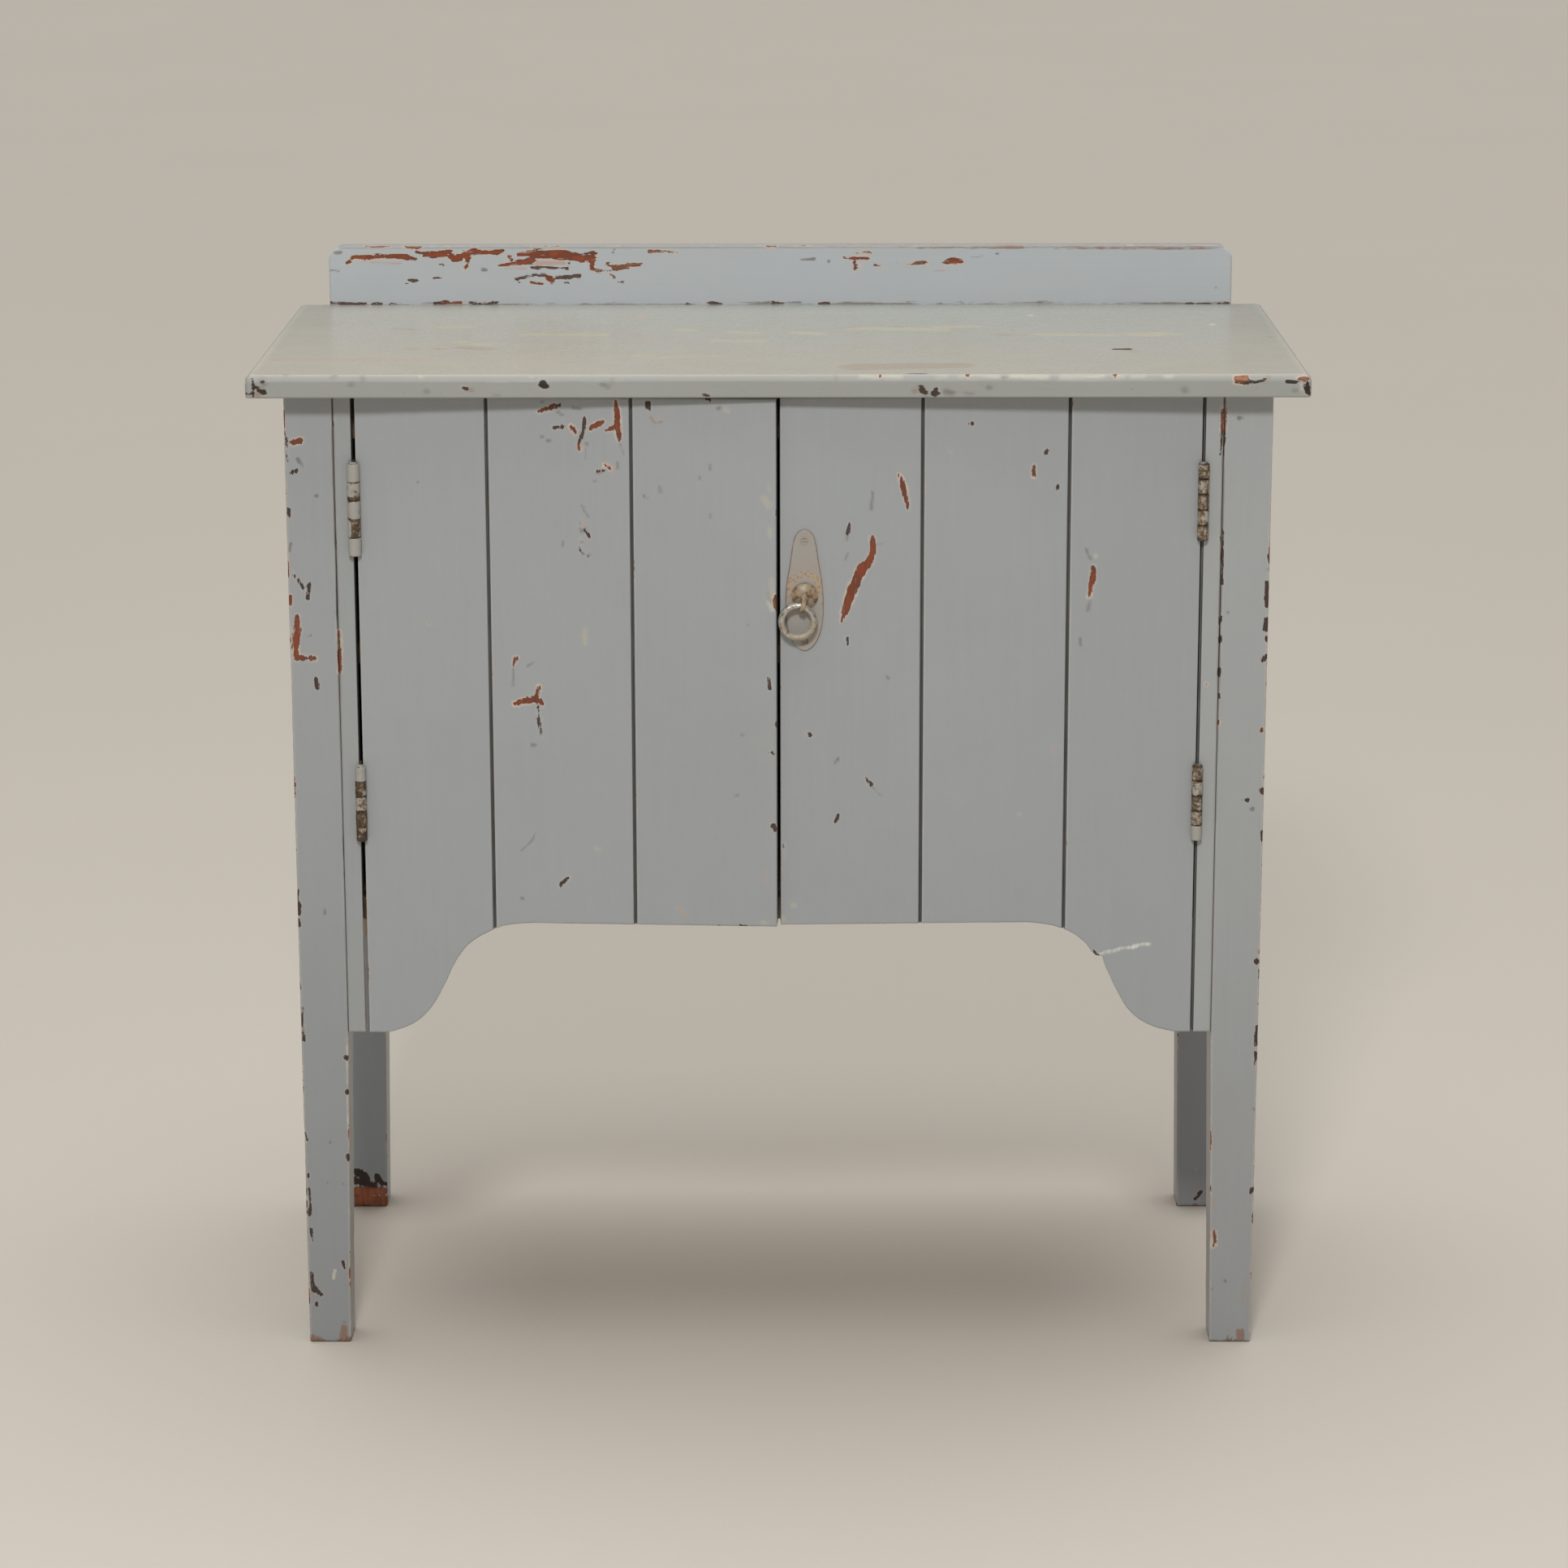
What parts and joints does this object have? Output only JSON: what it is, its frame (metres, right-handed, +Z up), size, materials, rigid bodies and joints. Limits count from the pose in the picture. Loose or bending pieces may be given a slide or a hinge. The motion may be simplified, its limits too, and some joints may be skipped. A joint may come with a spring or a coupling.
{
  "type": "cupboard",
  "caption": "Low painted board cupboard on square legs: flat top with a rear upstand, board doors with an ogee lower edge, ring latch, shelf inside.",
  "frame": {"origin": "on the floor, at the middle of the object's footprint (width and depth)", "axes": "+Z up, +X to the right seen from the front, -Y towards the front (the doors face -Y)"},
  "size_m": [0.86, 0.428, 0.89],
  "materials": {
    "paint": "pine under worn blue-grey gloss paint, chipped to a red-brown undercoat",
    "inner_pine": "bare aged pine, unpainted inside",
    "hinge_iron": "paint worn to dark rusty iron",
    "handle_painted": "worn paint over brass-coloured metal",
    "ring_metal": "worn, dull, with traces of paint",
    "dark_iron": "dark forged iron",
    "screw_steel": "dull steel"
  },
  "bodies": {
    "carcass": {"back_board_1": "paint", "back_board_2": "paint", "back_board_3": "paint", "back_board_4": "paint", "backboard": "paint", "bottom_board": "inner_pine", "frame_hinge_screws": "screw_steel", "front_bottom_rail": "inner_pine", "front_top_rail": "inner_pine", "hinge_stile_left": "paint", "hinge_stile_right": "paint", "left_hinge_pins": "hinge_iron", "leg_front_left": "paint", "leg_front_right": "paint", "leg_rear_left": "paint", "leg_rear_right": "paint", "lower_left_hinge_frame_leaf": "hinge_iron", "lower_right_hinge_frame_leaf": "hinge_iron", "middle_shelf": "inner_pine", "rear_bottom_rail": "inner_pine", "rear_top_rail": "inner_pine", "right_hinge_pins": "hinge_iron", "shelf_cleat_left": "inner_pine", "shelf_cleat_right": "inner_pine", "side_board_left_front": "paint", "side_board_left_middle": "paint", "side_board_left_rear": "paint", "side_board_right_front": "paint", "side_board_right_middle": "paint", "side_board_right_rear": "paint", "side_bottom_rail_left": "inner_pine", "side_bottom_rail_right": "inner_pine", "side_top_rail_left": "inner_pine", "side_top_rail_right": "inner_pine", "top_board": "paint", "upper_left_hinge_frame_leaf": "hinge_iron", "upper_right_hinge_frame_leaf": "hinge_iron"},
    "left_door": {"left_door_outer_board": "paint", "left_door_middle_board": "paint", "left_door_inner_board": "paint", "left_door_upper_ledge": "inner_pine", "left_door_lower_ledge": "inner_pine", "upper_left_hinge_door_leaf": "hinge_iron", "lower_left_hinge_door_leaf": "hinge_iron", "left_door_hinge_screws": "screw_steel", "bolt_plate": "dark_iron"},
    "right_door": {"right_door_outer_board": "paint", "right_door_middle_board": "paint", "right_door_inner_board": "paint", "right_door_upper_ledge": "inner_pine", "right_door_lower_ledge": "inner_pine", "upper_right_hinge_door_leaf": "hinge_iron", "lower_right_hinge_door_leaf": "hinge_iron", "right_door_hinge_screws": "screw_steel", "handle_plate": "handle_painted", "handle_plate_screws": "screw_steel"},
    "latch": {"handle_spindle": "handle_painted", "latch_bar": "dark_iron"},
    "ring": {"pull_ring": "ring_metal"},
    "bolt": {"bolt_rod": "dark_iron"}
  },
  "joints": [
    {"name": "left_door_hinge", "type": "hinge", "parent": "carcass", "child": "left_door", "pos_m": [-0.3465, -0.19, 0.6], "axis": [0, 0, -1], "range_deg": [-3.2, 166.8]},
    {"name": "right_door_hinge", "type": "hinge", "parent": "carcass", "child": "right_door", "pos_m": [0.3465, -0.19, 0.6], "axis": [0, 0, 1], "range_deg": [-2, 168]},
    {"name": "latch_turn", "type": "hinge", "parent": "right_door", "child": "latch", "pos_m": [0.02151, -0.19735, 0.65405], "axis": [0.0349, -0.9994, 0], "range_deg": [0, 90]},
    {"name": "ring_lift", "type": "hinge", "parent": "latch", "child": "ring", "pos_m": [0.01967, -0.20762, 0.64688], "axis": [-0.9557, -0.0334, 0.2924], "range_deg": [0, 110]},
    {"name": "bolt_slide", "type": "slide", "parent": "left_door", "child": "bolt", "axis": [0, 0, 1], "range_m": [0, 0.014]}
  ]
}
